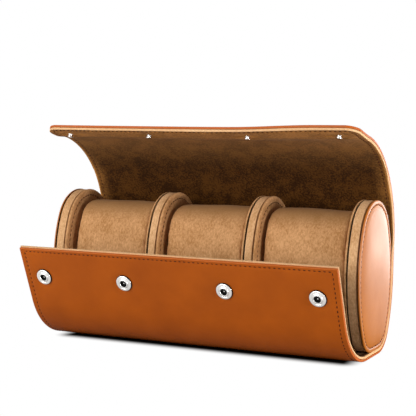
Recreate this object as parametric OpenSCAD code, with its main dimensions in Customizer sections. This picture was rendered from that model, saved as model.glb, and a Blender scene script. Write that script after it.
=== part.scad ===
// Watch travel case: a flexible leather wrap round two end caps and two dividers,
// with three pillows that lift out, a front flap and a lid closed by four snaps.
// X runs along the case, Y towards its back, Z up; it stands on Z = 0.

/* [Case] */
// Length of the wrap, end to end
case_len = 205; // [190:1:230]
// Depth of the oval end caps, front to back
cap_depth = 58.6; // [56:0.2:62]
// Height of the oval end caps
cap_height = 88; // [84:0.5:92]
// Thickness of an end cap
cap_thick = 10; // [8:0.5:12]
// Thickness of a divider
divider_thick = 9.3; // [7:0.1:11]
// Distance between the middles of the two dividers
divider_spacing = 64.8; // [60:0.2:70]
// How far the pair of dividers stands to the right of the middle
divider_shift = 0.8; // [0:0.1:2]

/* [Wrap] */
// Thickness of the outer leather
leather = 1.2; // [1:0.1:1.5]
// Thickness of the stiffening board
board = 0.8; // [0.6:0.1:1]
// Thickness of the suede lining
lining = 1; // [0.8:0.1:1.2]
// How far the lining shows beyond the leather along a free edge
lining_edge = 0.6; // [0.2:0.1:1]
// Height of the line at the back where the lid bends
lid_hinge_height = 50; // [49:0.5:52]

/* [Pillows] */
// Width of a pillow along the case
pillow_wide = 49.5; // [44:0.5:51]
// Depth of a pillow, front to back
pillow_depth = 46.4; // [42:0.2:47]
// Height of a pillow
pillow_height = 80; // [76:0.5:81]
// Thickness of a pillow's suede cover
pillow_cover = 1.2; // [0.8:0.1:1.6]

/* [Snaps] */
// Diameter of a snap's socket ring
ring_dia = 9.4; // [8:0.1:10]
// Diameter of the hole in a socket
socket_hole = 4; // [3.6:0.1:4.2]
// Distance from the middle to the inner snaps
inner_snap = 32.7; // [30:0.1:36]
// Distance from the middle to the outer snaps
outer_snap = 89; // [84:0.5:92]
// Distance from the flap's edge down to the sockets
socket_from_edge = 19.4; // [17:0.1:21]
// Distance from the lid's edge to the studs
stud_from_edge = 9; // [7:0.1:11]

/* [Hidden] */

$fn = 64;
through = 1;
wrap = leather + board + lining;

// Colours of the materials
tan_leather = "#A9541F";
dark_suede = "#5A3422";
cream_suede = "#B98C62";
grey_board = "#6E675E";
nickel = "#C9CBCF";
foam = "#D8D2C4";

// The oval of the caps, about its own middle: two round shoulders at the top, a flat foot
// with two corners at the bottom, and long side arcs that touch them smoothly
half_depth = cap_depth / 2;
half_height = cap_height / 2;
shoulder_r = 25;
corner_r = 16.5;
foot_half = 6;
oval_middle_z = wrap + half_height;
upper_side_r = (pow(half_height - shoulder_r, 2) + pow(half_depth, 2) - pow(shoulder_r, 2))
    / (2 * (half_depth - shoulder_r));
lower_side_r = (pow(half_depth - foot_half, 2) + pow(half_height - corner_r, 2) - pow(corner_r, 2))
    / (2 * (half_depth - foot_half - corner_r));
upper_turn = atan((half_height - shoulder_r) / (upper_side_r - half_depth));
lower_turn = atan((half_height - corner_r) / (lower_side_r - half_depth + foot_half));

// The wrap in three runs of [length, turn] pieces along its outer face, seen from the right
function arc_piece(radius, turn) = [radius * abs(turn) * PI / 180, turn];
flap_hinge_y = -12;
flap_start = [flap_hinge_y, 0];
flap_angle = 180;
flap_run = [[4, 0], arc_piece(39, -69), [37, 0]];
base_angle = 0;
lid_hinge_turn = asin((lid_hinge_height - oval_middle_z) / (upper_side_r + wrap));
base_run = [
    [foot_half - flap_hinge_y, 0],
    arc_piece(corner_r + wrap, 90 - lower_turn),
    arc_piece(lower_side_r + wrap, lower_turn),
    arc_piece(upper_side_r + wrap, lid_hinge_turn)
];
lid_start = [
    half_depth - upper_side_r + (upper_side_r + wrap) * cos(lid_hinge_turn),
    lid_hinge_height
];
lid_angle = 83.5;
lid_run = [[11, 0], arc_piece(62, 84.5), [21.5, 0]];
back_fold = 29;
top_fold = 86;

// Lengths along the wrap
function run_length(run, i = 0) = i == len(run) ? 0 : run[i][0] + run_length(run, i + 1);
flap_len = run_length(flap_run);
base_len = run_length(base_run);
lid_len = run_length(lid_run);

// Place [y, z, angle] at the distance s along a run that starts at a point and angle
function step(point, angle, piece, s) =
    let (turn = piece[1] * s / piece[0])
    piece[1] == 0
        ? [point[0] + s * cos(angle), point[1] + s * sin(angle), angle]
        : let (radius = piece[0] * 180 / (PI * piece[1]))
          [
              point[0] + radius * (sin(angle + turn) - sin(angle)),
              point[1] + radius * (cos(angle) - cos(angle + turn)),
              angle + turn
          ];
function place(run, point, angle, s, i = 0) =
    s <= run[i][0] || i == len(run) - 1
        ? step(point, angle, run[i], s)
        : let (next = step(point, angle, run[i], run[i][0]))
          place(run, [next[0], next[1]], next[2], s - run[i][0], i + 1);

// A point at a depth below the outer face; side is 1 where the inside lies left of the run
function below(at, depth, side) =
    [at[0] - side * depth * sin(at[2]), at[1] + side * depth * cos(at[2])];

// Outline of one layer of the wrap between two distances along a run
slice = 2;
function cuts(from, to) =
    let (count = ceil((to - from) / slice))
    [for (i = [0:count]) from + (to - from) * i / count];
function layer_outline(run, point, angle, side, from, to, outer, inner) = concat(
    [for (s = cuts(from, to)) below(place(run, point, angle, s), outer, side)],
    [for (s = cuts(-to, -from)) below(place(run, point, angle, -s), inner, side)]
);

// Turns an outline drawn in Y and Z into a slab between two places along the case
module slab(from, to) {
    rotate([90, 0, 90])
        translate([0, 0, from])
            linear_extrude(to - from)
                children();
}

// Places a snap's part at a depth in the wrap, pointing out of it
module on_face(x, at, depth, side, outwards) {
    spot = below(at, depth, side);
    normal = at[2] + (outwards ? -90 : 90) * side;
    translate([x, spot[0], spot[1]])
        rotate([normal - 90, 0, 0])
            children();
}
module at_sockets() {
    for (x = [-outer_snap, -inner_snap, inner_snap, outer_snap])
        on_face(x, place(flap_run, flap_start, flap_angle, flap_len - socket_from_edge), 0, -1, true)
            children();
}
module at_studs() {
    for (x = [-outer_snap, -inner_snap, inner_snap, outer_snap])
        on_face(x, place(lid_run, lid_start, lid_angle, lid_len - stud_from_edge), wrap, 1, false)
            children();
}

// Half lengths and depths of the wrap's three layers
leather_half = case_len / 2 - lining_edge;
board_half = case_len / 2 - 2;
lining_half = case_len / 2;
board_outer = leather;
lining_outer = leather + board;
board_edge = 2;

// One layer of each section; the lining is longest and the board shortest at a free edge
module base_layer(half_len, outer, inner) {
    slab(-half_len, half_len)
        polygon(layer_outline(base_run, flap_start, base_angle, 1, 0, base_len, outer, inner));
}
module flap_layer(half_len, edge, outer, inner) {
    slab(-half_len, half_len)
        polygon(layer_outline(flap_run, flap_start, flap_angle, -1, 0, flap_len - edge, outer, inner));
}
module lid_layer(half_len, from, to, outer, inner) {
    slab(-half_len, half_len)
        polygon(layer_outline(lid_run, lid_start, lid_angle, 1, from, to, outer, inner));
}

// Base: the fixed bottom and back of the wrap
module base_leather() {
    color(tan_leather)
        base_layer(leather_half, 0, leather);
}
module base_board() {
    color(grey_board)
        base_layer(board_half, board_outer, lining_outer);
}
module base_lining() {
    color(dark_suede)
        base_layer(lining_half, lining_outer, wrap);
}

// Flap: the front of the wrap, with the snap sockets through its leather
barrel_r = socket_hole / 2 + 0.4;
pocket_r = 4;
module flap_leather() {
    color(tan_leather)
        difference() {
            flap_layer(leather_half, lining_edge, 0, leather);
            at_sockets()
                translate([0, 0, -leather - through])
                    cylinder(r = barrel_r, h = leather + 2 * through);
        }
}
module flap_board() {
    color(grey_board)
        difference() {
            flap_layer(board_half, board_edge, board_outer, lining_outer);
            at_sockets()
                translate([0, 0, -lining_outer - through])
                    cylinder(r = pocket_r, h = board + 2 * through);
        }
}
module flap_lining() {
    color(dark_suede)
        flap_layer(lining_half, 0, lining_outer, wrap);
}

// Snap sockets: a rolled ring on the leather, with a barrel down through it
ring_r = ring_dia / 2;
ring_flange = 0.4;
ring_height = 1.1;
roll_r = 0.55;
groove_deep = 0.35;
groove_low = 0.3;
groove_high = 0.7;
module snap_sockets() {
    color(nickel)
        at_sockets()
            difference() {
                rotate_extrude()
                    union() {
                        translate([0, -leather])
                            square([barrel_r, leather]);
                        square([ring_r - ring_flange / 2, ring_flange]);
                        translate([ring_r - ring_flange / 2, ring_flange / 2])
                            circle(r = ring_flange / 2);
                        square([barrel_r + roll_r, ring_height - roll_r]);
                        square([barrel_r, ring_height]);
                        translate([barrel_r, ring_height - roll_r])
                            circle(r = roll_r);
                    }
                translate([0, 0, -leather - through])
                    cylinder(d = socket_hole, h = leather + ring_height + 2 * through);
                translate([0, 0, groove_low])
                    cylinder(r = socket_hole / 2 + groove_deep, h = groove_high - groove_low);
            }
}

// Snap springs: a split ring in each socket's groove that grips the stud
spring_r = socket_hole / 2 + 0.25;
spring_wide = 0.45;
spring_high = 0.3;
spring_gap = 0.8;
module snap_springs() {
    color(nickel)
        at_sockets()
            translate([0, 0, groove_low])
                difference() {
                    cylinder(r = spring_r, h = spring_high);
                    translate([0, 0, -through])
                        cylinder(r = spring_r - spring_wide, h = spring_high + 2 * through);
                    translate([0, -spring_gap / 2, -through])
                        cube([spring_r + through, spring_gap, spring_high + 2 * through]);
                }
}

// Snap posts: the eyelets behind the leather, in pockets of the board
post_flange = 0.5;
post_r = socket_hole / 2 - 0.1;
post_bore = socket_hole / 2 - 0.4;
post_tall = 0.9;
module snap_posts() {
    color(nickel)
        at_sockets()
            translate([0, 0, -leather - post_flange])
                difference() {
                    union() {
                        cylinder(r = pocket_r - 0.1, h = post_flange);
                        cylinder(r = post_r, h = post_flange + post_tall);
                    }
                    translate([0, 0, -through])
                        cylinder(r = post_bore, h = post_flange + post_tall + 2 * through);
                }
}

// Lid: three sections of the wrap above the back, joined at two folds
module lid_back_leather() {
    color(tan_leather)
        lid_layer(leather_half, 0, back_fold, 0, leather);
}
module lid_back_board() {
    color(grey_board)
        lid_layer(board_half, 0, back_fold, board_outer, lining_outer);
}
module lid_back_lining() {
    color(dark_suede)
        lid_layer(lining_half, 0, back_fold, lining_outer, wrap);
}
module lid_top_leather() {
    color(tan_leather)
        lid_layer(leather_half, back_fold, top_fold, 0, leather);
}
module lid_top_board() {
    color(grey_board)
        lid_layer(board_half, back_fold, top_fold, board_outer, lining_outer);
}
module lid_top_lining() {
    color(dark_suede)
        lid_layer(lining_half, back_fold, top_fold, lining_outer, wrap);
}
module lid_front_leather() {
    color(tan_leather)
        lid_layer(leather_half, top_fold, lid_len - lining_edge, 0, leather);
}
shank_r = 1.3;
module lid_front_board() {
    color(grey_board)
        difference() {
            lid_layer(board_half, top_fold, lid_len - board_edge, board_outer, lining_outer);
            at_studs()
                translate([0, 0, -lining - board - through / 2])
                    cylinder(r = pocket_r, h = board + through);
        }
}
module lid_front_lining() {
    color(dark_suede)
        difference() {
            lid_layer(lining_half, top_fold, lid_len, lining_outer, wrap);
            at_studs()
                translate([0, 0, -lining - through])
                    cylinder(r = shank_r, h = lining + 2 * through);
        }
}

// Snap studs: a small flange on the lining, a waist and a round head
stud_flange_r = 2.4;
stud_flange = 0.25;
stud_head_r = 1.55;
stud_waist_r = 1.25;
stud_height = 2.1;
stud_bore = 0.7;
module snap_studs() {
    color(nickel)
        at_studs()
            difference() {
                rotate_extrude()
                    union() {
                        square([stud_flange_r, stud_flange]);
                        translate([0, -lining])
                            square([shank_r, lining]);
                        square([stud_waist_r, stud_height - 0.5]);
                        translate([0, stud_height - 0.9])
                            square([stud_head_r - 0.45, 0.9]);
                        translate([stud_head_r - 0.45, stud_height - 0.45])
                            circle(r = 0.45);
                    }
                translate([0, 0, -lining - through])
                    cylinder(r = stud_bore, h = lining + through + 1);
            }
}

// Snap stud backs: the flanged pins that hold the studs, in pockets under the leather
module snap_stud_backs() {
    color(nickel)
        at_studs()
            union() {
                translate([0, 0, -lining - post_flange])
                    cylinder(r = pocket_r - 0.1, h = post_flange);
                translate([0, 0, -lining])
                    cylinder(r = stud_bore, h = lining + 1);
            }
}

// The oval outline at an inset, as arcs about the centres named above
arc_step = 4;
function arc_points(centre, radius, from, to) =
    let (count = ceil(abs(to - from) / arc_step))
    [for (i = [0:count]) let (a = from + (to - from) * i / count)
        [centre[0] + radius * cos(a), centre[1] + radius * sin(a)]];
function oval_half(inset) = concat(
    arc_points([foot_half, corner_r - half_height], corner_r - inset, -90, -lower_turn),
    arc_points([half_depth - lower_side_r, 0], lower_side_r - inset, -lower_turn, 0),
    arc_points([half_depth - upper_side_r, 0], upper_side_r - inset, 0, upper_turn),
    arc_points([0, half_height - shoulder_r], shoulder_r - inset, upper_turn, 90)
);
function mirrored(points) = [for (i = [len(points) - 1:-1:0]) [-points[i][0], points[i][1]]];
module oval(inset) {
    translate([0, oval_middle_z])
        polygon(concat(oval_half(inset), mirrored(oval_half(inset))));
}

// Caps and dividers are a core with a suede band round it and a stitched face on each side;
// they stand on the foot of their oval and clear the wrap behind them by a hair
fit = 0.05;
band = 1;
face_thick = 1.3;
cap_face = 1.4;
module disc(from, to, inset) {
    slab(from, to)
        intersection() {
            oval(fit + inset);
            translate([-cap_depth, wrap])
                square([2 * cap_depth, 2 * cap_height]);
        }
}
module foot_disc(from, to) {
    slab(from, to)
        translate([0, -fit])
            oval(fit);
}
module band_ring(from, to) {
    difference() {
        foot_disc(from, to);
        disc(from - through, to + through, band);
    }
}

// End caps: the right one, which the left one mirrors
cap_out = case_len / 2 + 0.2;
cap_in = cap_out - cap_thick;
module cap_leather() {
    color(tan_leather)
        foot_disc(cap_out - cap_face, cap_out);
}
module cap_band() {
    color(cream_suede)
        band_ring(cap_in + face_thick, cap_out - cap_face);
}
module cap_core() {
    color(grey_board)
        disc(cap_in + face_thick, cap_out - cap_face, band);
}
module cap_lining() {
    color(cream_suede)
        foot_disc(cap_in, cap_in + face_thick);
}

// Dividers, about their own middle
module at_divider(side) {
    translate([divider_shift + side * divider_spacing / 2, 0, 0])
        children();
}
module divider_face(side) {
    half = divider_thick / 2;
    color(cream_suede)
        foot_disc(side < 0 ? -half : half - face_thick, side < 0 ? face_thick - half : half);
}
module divider_band() {
    color(cream_suede)
        band_ring(face_thick - divider_thick / 2, divider_thick / 2 - face_thick);
}
module divider_core() {
    color(grey_board)
        disc(face_thick - divider_thick / 2, divider_thick / 2 - face_thick, band);
}

// Pillows: a foam core in a suede cover whose ends round in to two flat end panels
pillow_lift = 0.4;
pillow_middle_z = wrap + pillow_lift + pillow_height / 2;
end_round = 5;
end_inset = 4;
mid_inset = 1.2;
mid_round = 1.8;
function ellipse(inset) =
    [for (a = [0:7.5:359])
        [(pillow_depth / 2 - inset) * cos(a), (pillow_height / 2 - inset) * sin(a)]];
module pillow_slice(half_len, inset) {
    translate([0, 0, pillow_middle_z])
        slab(-half_len, half_len)
            polygon(ellipse(inset));
}
module pillow_form(skin) {
    hull() {
        pillow_slice(pillow_wide / 2 - end_round, skin);
        pillow_slice(pillow_wide / 2 - mid_round, mid_inset + skin);
        pillow_slice(pillow_wide / 2, end_inset + skin);
    }
}
module at_pillow(place_x) {
    translate([place_x, 0, 0])
        children();
}
module pillow_cover_shell() {
    color(cream_suede)
        difference() {
            pillow_form(0);
            pillow_form(pillow_cover);
        }
}
module pillow_end_panels() {
    color(cream_suede)
        difference() {
            pillow_slice(pillow_wide / 2, end_inset + pillow_cover);
            pillow_slice(pillow_wide / 2 - pillow_cover, 0);
        }
}
module pillow_foam() {
    color(foam)
        intersection() {
            pillow_form(pillow_cover);
            pillow_slice(pillow_wide / 2 - pillow_cover, 0);
        }
}
left_bay_x = (divider_shift - divider_spacing / 2 - divider_thick / 2 - cap_in) / 2;
middle_bay_x = divider_shift;
right_bay_x = (divider_shift + divider_spacing / 2 + divider_thick / 2 + cap_in) / 2;

module left_cap_leather() mirror([1, 0, 0]) cap_leather();
module left_cap_band() mirror([1, 0, 0]) cap_band();
module left_cap_core() mirror([1, 0, 0]) cap_core();
module left_cap_lining() mirror([1, 0, 0]) cap_lining();
module right_cap_leather() cap_leather();
module right_cap_band() cap_band();
module right_cap_core() cap_core();
module right_cap_lining() cap_lining();
module left_divider_left_face() at_divider(-1) divider_face(-1);
module left_divider_band() at_divider(-1) divider_band();
module left_divider_core() at_divider(-1) divider_core();
module left_divider_right_face() at_divider(-1) divider_face(1);
module right_divider_left_face() at_divider(1) divider_face(-1);
module right_divider_band() at_divider(1) divider_band();
module right_divider_core() at_divider(1) divider_core();
module right_divider_right_face() at_divider(1) divider_face(1);
module left_pillow_cover() at_pillow(left_bay_x) pillow_cover_shell();
module left_pillow_ends() at_pillow(left_bay_x) pillow_end_panels();
module left_pillow_core() at_pillow(left_bay_x) pillow_foam();
module middle_pillow_cover() at_pillow(middle_bay_x) pillow_cover_shell();
module middle_pillow_ends() at_pillow(middle_bay_x) pillow_end_panels();
module middle_pillow_core() at_pillow(middle_bay_x) pillow_foam();
module right_pillow_cover() at_pillow(right_bay_x) pillow_cover_shell();
module right_pillow_ends() at_pillow(right_bay_x) pillow_end_panels();
module right_pillow_core() at_pillow(right_bay_x) pillow_foam();

base_leather();
base_board();
base_lining();
left_cap_leather();
left_cap_band();
left_cap_core();
left_cap_lining();
right_cap_leather();
right_cap_band();
right_cap_core();
right_cap_lining();
left_divider_left_face();
left_divider_band();
left_divider_core();
left_divider_right_face();
right_divider_left_face();
right_divider_band();
right_divider_core();
right_divider_right_face();
flap_leather();
flap_board();
flap_lining();
snap_sockets();
snap_springs();
snap_posts();
lid_back_leather();
lid_back_board();
lid_back_lining();
lid_top_leather();
lid_top_board();
lid_top_lining();
lid_front_leather();
lid_front_board();
lid_front_lining();
snap_studs();
snap_stud_backs();
left_pillow_cover();
left_pillow_ends();
left_pillow_core();
middle_pillow_cover();
middle_pillow_ends();
middle_pillow_core();
right_pillow_cover();
right_pillow_ends();
right_pillow_core();
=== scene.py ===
"""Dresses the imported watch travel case: leather wrap, suede lining, end caps, dividers,
pillows, snap fasteners and stitching, on a plain pale stage."""

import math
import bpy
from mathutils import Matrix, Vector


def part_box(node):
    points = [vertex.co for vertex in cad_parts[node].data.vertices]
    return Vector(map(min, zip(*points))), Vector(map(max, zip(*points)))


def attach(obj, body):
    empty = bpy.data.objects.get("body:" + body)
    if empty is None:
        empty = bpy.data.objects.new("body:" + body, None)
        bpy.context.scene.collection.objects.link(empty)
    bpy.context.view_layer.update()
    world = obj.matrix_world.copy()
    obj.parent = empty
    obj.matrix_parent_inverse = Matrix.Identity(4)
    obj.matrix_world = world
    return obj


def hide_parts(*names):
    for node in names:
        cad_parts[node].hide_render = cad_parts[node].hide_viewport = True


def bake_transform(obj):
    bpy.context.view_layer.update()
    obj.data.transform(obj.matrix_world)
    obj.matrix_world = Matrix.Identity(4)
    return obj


bl_info = {
    "name": "Watch travel case",
    "version": (1, 0, 0),
    "blender": (4, 5, 0),
    "location": "View3D > Sidebar > Watch Case",
    "description": "Builds the leather, suede and metal of a three-bay watch travel case",
    "category": "Object",
}

import bmesh
import bpy
from bpy.props import FloatProperty, FloatVectorProperty, PointerProperty
from mathutils import Matrix, Vector, noise

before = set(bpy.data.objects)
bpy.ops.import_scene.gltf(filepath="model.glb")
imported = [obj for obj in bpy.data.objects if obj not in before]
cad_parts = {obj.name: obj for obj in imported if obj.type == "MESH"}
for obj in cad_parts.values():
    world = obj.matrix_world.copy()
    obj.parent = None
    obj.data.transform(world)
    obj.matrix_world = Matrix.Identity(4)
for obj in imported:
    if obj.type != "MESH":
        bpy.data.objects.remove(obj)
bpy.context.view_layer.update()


def srgb(text):
    """A hex colour such as "#A9541F" as linear red, green, blue and alpha."""
    parts = [int(text[i : i + 2], 16) / 255 for i in (1, 3, 5)]
    linear = [c / 12.92 if c <= 0.04045 else ((c + 0.055) / 1.055) ** 2.4 for c in parts]
    return (*linear, 1.0)


def length_prop(label, what, default):
    """A length in metres."""
    return FloatProperty(name=label, description=what, default=default, unit="LENGTH", precision=5)


def colour_prop(label, what, text):
    """A colour that a user may change."""
    return FloatVectorProperty(
        name=label, description=what, default=srgb(text), subtype="COLOR", size=4, min=0, max=1
    )


# ---------------------------------------------------------------- sizes and colours

# All sizes are in metres unless a name or a comment says otherwise
LINING_END_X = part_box("base_lining")[1].x
PILLOW_TOP_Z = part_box("middle_pillow_cover")[1].z


class CaseSizes(bpy.types.PropertyGroup):
    """Sizes of what is sewn, cut and pressed."""

    half_length: length_prop("Half length", "From the middle to an end of the lining", LINING_END_X)
    leather: length_prop("Leather", "Thickness of the outer leather", 0.0012)
    board: length_prop("Board", "Thickness of the stiffening board", 0.0008)
    lining_edge: length_prop("Lining edge", "How far the suede shows past the flap's leather", 0.0006)
    stitch_pitch: length_prop("Stitch pitch", "From one stitch to the next", 0.0029)
    stitch_length: length_prop("Stitch length", "What shows of one stitch", 0.0020)
    stitch_inset: length_prop("Stitch inset", "From the wrap's ends to their seams", 0.0019)
    side_inset: length_prop("Side stitch inset", "From the wrap's sides to their seams", 0.0032)
    face_inset: length_prop("Face seam inset", "From a divider's edge to its seam", 0.0038)
    cap_inset: length_prop("Cap seam inset", "From the cap leather's edge to its seam", 0.0026)
    thread: length_prop("Thread", "Thickness of the sewing thread", 0.00062)
    seam_gap: length_prop("Seam gap", "Width of the dark seams beside a band", 0.0011)
    lid_sag: length_prop("Lid sag", "How far the lid's edge sags in its middle", 0.0002)
    lid_give: length_prop("Lid give", "How far the lid gives along its crease", 0.0012)
    lid_turn_up: length_prop("Lid turn-up", "How far the lid's edge turns up past its crease", 0.0020)
    ring_radius: length_prop("Ring radius", "Outer radius of a snap's socket ring", 0.00492)
    socket_radius: length_prop("Socket radius", "Radius of the hole in a socket", 0.0020)


class CaseColours(bpy.types.PropertyGroup):
    """Colours of the finishes."""

    leather: colour_prop("Leather", "Tan leather where it is full", "#A64F05")
    leather_deep: colour_prop("Leather, deep", "Tan leather where the dye gathers", "#934303")
    cap: colour_prop("Cap leather", "Tan leather of the end caps", "#AD620F")
    cap_deep: colour_prop("Cap leather, deep", "Cap leather where the dye gathers", "#9C5509")
    edge: colour_prop("Leather edge", "Burnished cut edge of the leather", "#B85C1E")
    suede: colour_prop("Suede", "Sand suede of pillows, caps and dividers", "#CE9C6C")
    suede_deep: colour_prop("Suede, brushed down", "Sand suede seen against its nap", "#A67648")
    # The crown colour is painted shade: the pillows darken towards their tops with it, where less light
    # falls.
    crown: colour_prop("Suede, crown", "Sand suede laid flat along a pillow's crown", "#90683F")
    # The band colours are a lighter copy of the sand suede, painted light for the bands, which face up and
    # to the front.
    taut: colour_prop("Suede, taut", "Sand suede drawn tight round a band", "#DDB082")
    band_lit_deep: colour_prop("Suede, taut, brushed down", "Taut suede seen against its nap", "#B98A5C")
    # The lining colours are the sand suede darkened as painted shade for the inside of the case; the raised
    # colour is a lighter copy as painted light, for the strips across the lid and along the free edges.
    lining: colour_prop("Lining", "Suede lining of the wrap", "#553310")
    lining_deep: colour_prop("Lining, brushed down", "Lining seen against its nap", "#301906")
    lining_lit: colour_prop("Lining, raised", "Lining with its nap brushed up", "#BC7F40")
    cut_edge: colour_prop("Cut edge", "Raw edge of the suede", "#E3BC8E")
    # The socket colour is near black: painted shade for the snaps' wells, ring walls, springs and posts.
    snap_shade_black: colour_prop("Socket recess", "Darkened spring steel in a socket", "#0C0A09")
    thread: colour_prop("Thread", "Sewing thread", "#4A1F0C")
    nickel: colour_prop("Nickel", "Plating of the snaps", "#EDEBE7")
    board: colour_prop("Board", "Pressed fibre board", "#33281F")
    floor: colour_prop("Floor", "Floor near the object", "#C8C8C8")
    # The floor's under colour is a painted contact shadow.
    floor_painted_shadow: colour_prop("Floor, under", "Floor in the object's contact shadow", "#120F0E")


# ---------------------------------------------------------------- the wrap's course

# The oval that the wrap lies round: shoulders and corners joined by long side arcs
WRAP = 0.0030
HALF_DEPTH = 0.0293
HALF_HEIGHT = 0.0440
SHOULDER_R = 0.0250
CORNER_R = 0.0165
FOOT_HALF = 0.0060
OVAL_MIDDLE_Z = WRAP + HALF_HEIGHT
UPPER_SIDE_R = ((HALF_HEIGHT - SHOULDER_R) ** 2 + HALF_DEPTH**2 - SHOULDER_R**2) / (
    2 * (HALF_DEPTH - SHOULDER_R)
)
LOWER_SIDE_R = ((HALF_DEPTH - FOOT_HALF) ** 2 + (HALF_HEIGHT - CORNER_R) ** 2 - CORNER_R**2) / (
    2 * (HALF_DEPTH - FOOT_HALF - CORNER_R)
)
UPPER_TURN = math.atan2(HALF_HEIGHT - SHOULDER_R, UPPER_SIDE_R - HALF_DEPTH)
LOWER_TURN = math.atan2(HALF_HEIGHT - CORNER_R, LOWER_SIDE_R - HALF_DEPTH + FOOT_HALF)

# Hinge lines, and the folds' distances from the lid's hinge line
FLAP_HINGE_Y = -0.012
LID_HINGE_Z = 0.050
LID_HINGE_TURN = math.asin((LID_HINGE_Z - OVAL_MIDDLE_Z) / (UPPER_SIDE_R + WRAP))
LID_ANGLE = math.radians(83.5)
BACK_FOLD = 0.029
TOP_FOLD = 0.086

# The flap and the lid: a straight foot, a bend and a straight end
FLAP_FOOT, FLAP_BEND_R, FLAP_BEND_DEG, FLAP_END = 0.004, 0.039, -69, 0.037
LID_FOOT, LID_BEND_R, LID_BEND_DEG, LID_END = 0.011, 0.062, 84.5, 0.0215


def arc_piece(radius, turn):
    """A (length, turn) piece of a run for an arc."""
    return radius * abs(turn), turn


FLAP_RUN = ((FLAP_FOOT, 0.0), arc_piece(FLAP_BEND_R, math.radians(FLAP_BEND_DEG)), (FLAP_END, 0.0))
BASE_RUN = (
    (FOOT_HALF - FLAP_HINGE_Y, 0.0),
    arc_piece(CORNER_R + WRAP, math.pi / 2 - LOWER_TURN),
    arc_piece(LOWER_SIDE_R + WRAP, LOWER_TURN),
    arc_piece(UPPER_SIDE_R + WRAP, LID_HINGE_TURN),
)
LID_RUN = ((LID_FOOT, 0.0), arc_piece(LID_BEND_R, math.radians(LID_BEND_DEG)), (LID_END, 0.0))
LID_START = (HALF_DEPTH - UPPER_SIDE_R + (UPPER_SIDE_R + WRAP) * math.cos(LID_HINGE_TURN), LID_HINGE_Z)
FLAP_LEN = sum(length for length, turn in FLAP_RUN)
BASE_LEN = sum(length for length, turn in BASE_RUN)
LID_LEN = sum(length for length, turn in LID_RUN)
WRAP_END = BASE_LEN + LID_LEN
STUD_S = WRAP_END - 0.0090
CREASE_S = STUD_S - 0.0045
LID_CORNER_R = 0.0080

# The lid's use: where its sag and its give begin, and the shares of the half length from which
# it gives less, turns up fully, and turns up early
EASE = 0.008
SAG_START = BASE_LEN + 0.06
GIVE_START = CREASE_S - 0.012
GIVE_ENDS = (0.25, 0.75)
FULL_TURN_UP = 0.85
LEAST_TURN_UP = 0.8
EARLY_CORNER = 0.86


def along(run, point, angle, s):
    """(y, z, angle) at the distance s along a run of straight and round pieces."""
    y, z = point
    for i, (length, turn) in enumerate(run):
        last = i == len(run) - 1
        part = s if last or s <= length else length
        if turn:
            radius = length / turn
            ahead = angle + turn * part / length
            y += radius * (math.sin(ahead) - math.sin(angle))
            z += radius * (math.cos(angle) - math.cos(ahead))
            angle = ahead
        else:
            y += part * math.cos(angle)
            z += part * math.sin(angle)
        if part == s:
            break
        s -= length
    return y, z, angle


def course(s):
    """(y, z, angle) of the wrap's outer face; s is 0 at the flap's hinge line, below it on the
    flap and above it on the base and lid. The inside lies to the left of the way along it."""
    if s < 0:
        y, z, angle = along(FLAP_RUN, (FLAP_HINGE_Y, 0.0), math.pi, -s)
        return y, z, angle + math.pi
    if s < BASE_LEN:
        return along(BASE_RUN, (FLAP_HINGE_Y, 0.0), 0.0, s)
    return along(LID_RUN, LID_START, LID_ANGLE, s - BASE_LEN)


def eased(s):
    """The course with the lid's hinge line rounded off, as leather bends."""
    if abs(s - BASE_LEN) >= EASE:
        return course(s)
    y0, z0, a0 = course(BASE_LEN - EASE)
    y1, z1, a1 = course(BASE_LEN + EASE)
    span = 2 * EASE
    t = (s - BASE_LEN + EASE) / span
    # A curve that leaves the first end and meets the second in their own directions
    at_first, at_second = 2 * t**3 - 3 * t**2 + 1, 3 * t**2 - 2 * t**3
    leaving, meeting = (t**3 - 2 * t**2 + t) * span, (t**3 - t**2) * span
    y = at_first * y0 + leaving * math.cos(a0) + at_second * y1 + meeting * math.cos(a1)
    z = at_first * z0 + leaving * math.sin(a0) + at_second * z1 + meeting * math.sin(a1)
    return y, z, a0 + (a1 - a0) * t


def smooth(low, high, value):
    """0 below low, 1 above high, and a soft step between."""
    t = min(1.0, max(0.0, (value - low) / (high - low)))
    return t * t * (3 - 2 * t)


def lid_curl(x, s):
    """How far use has bent the lid's free edge: it sags in its middle, gives along the crease
    except at its right end, and past the crease it turns up, which begins early at that end."""
    across = x / LINING_END_X
    sizes = context_sizes()
    sag = sizes.lid_sag * smooth(SAG_START, WRAP_END, s) * (1 - across**2)
    give = sizes.lid_give * smooth(GIVE_START, CREASE_S, s) * (1 - smooth(*GIVE_ENDS, across))
    more = (1 - LEAST_TURN_UP) * smooth(0.0, FULL_TURN_UP, across)
    turn_up = sizes.lid_turn_up * (LEAST_TURN_UP + more)
    past = max(0.0, (s - CREASE_S) / (WRAP_END - CREASE_S))
    early = max(0.0, (s - GIVE_START) / (WRAP_END - GIVE_START))
    corner = smooth(EARLY_CORNER, 1.0, across)
    rise = (1 - corner) * past * (2 * past + 1) / 3 + corner * early**2
    return turn_up * rise - sag - give


def on_wrap(x, s, depth):
    """Where the flat point (x, s) lies at a depth in the bent wrap, in the case's frame."""
    y, z, angle = eased(s)
    return Vector((x, y - depth * math.sin(angle), z + depth * math.cos(angle) + lid_curl(x, s)))


def wrap_turn(s, outwards):
    """The turn that sets a thing's own Z along the wrap's outward or inward normal."""
    return Matrix.Rotation(eased(s)[2] - (math.pi if outwards else 0.0), 4, "X")


# ---------------------------------------------------------------- small tools

NEAR = 1e-6


def context_sizes():
    """The sizes that the panel shows."""
    return bpy.context.scene.case_sizes


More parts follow.
